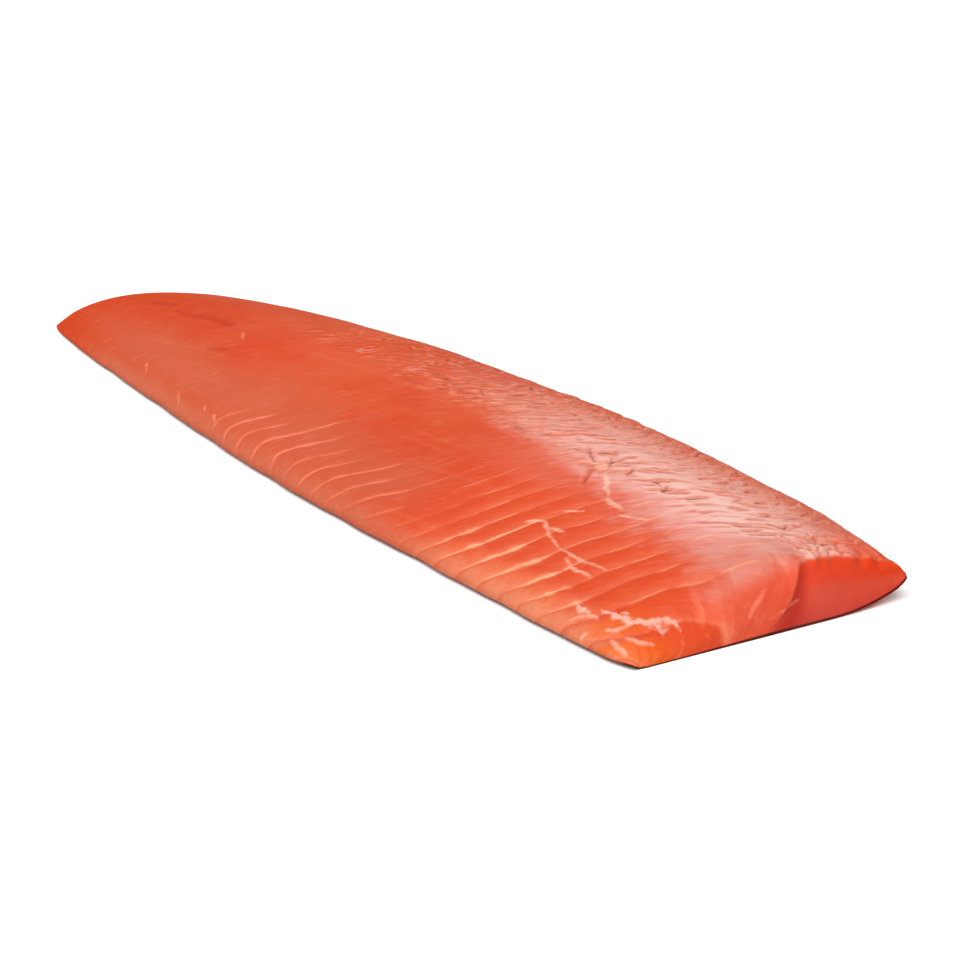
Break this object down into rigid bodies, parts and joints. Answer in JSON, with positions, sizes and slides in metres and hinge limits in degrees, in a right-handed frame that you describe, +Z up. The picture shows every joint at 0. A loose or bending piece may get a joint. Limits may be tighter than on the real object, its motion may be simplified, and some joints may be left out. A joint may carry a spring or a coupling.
{
  "type": "raw salmon fillet",
  "caption": "Whole side of raw salmon lying flesh up, with a thin rounded tail, a thick loin, a tapering belly edge and a straight cut end.",
  "frame": {"origin": "bottom centre of the bounding box, on the surface that the fillet lies on", "axes": "+X along the fillet towards the cut end, +Y towards the thick loin edge, +Z up"},
  "size_m": [0.56, 0.1766, 0.0307],
  "materials": {
    "flesh": "moist raw flesh, orange red with pale fat lines"
  },
  "bodies": {
    "root": {"fillet": "flesh"}
  },
  "joints": []
}
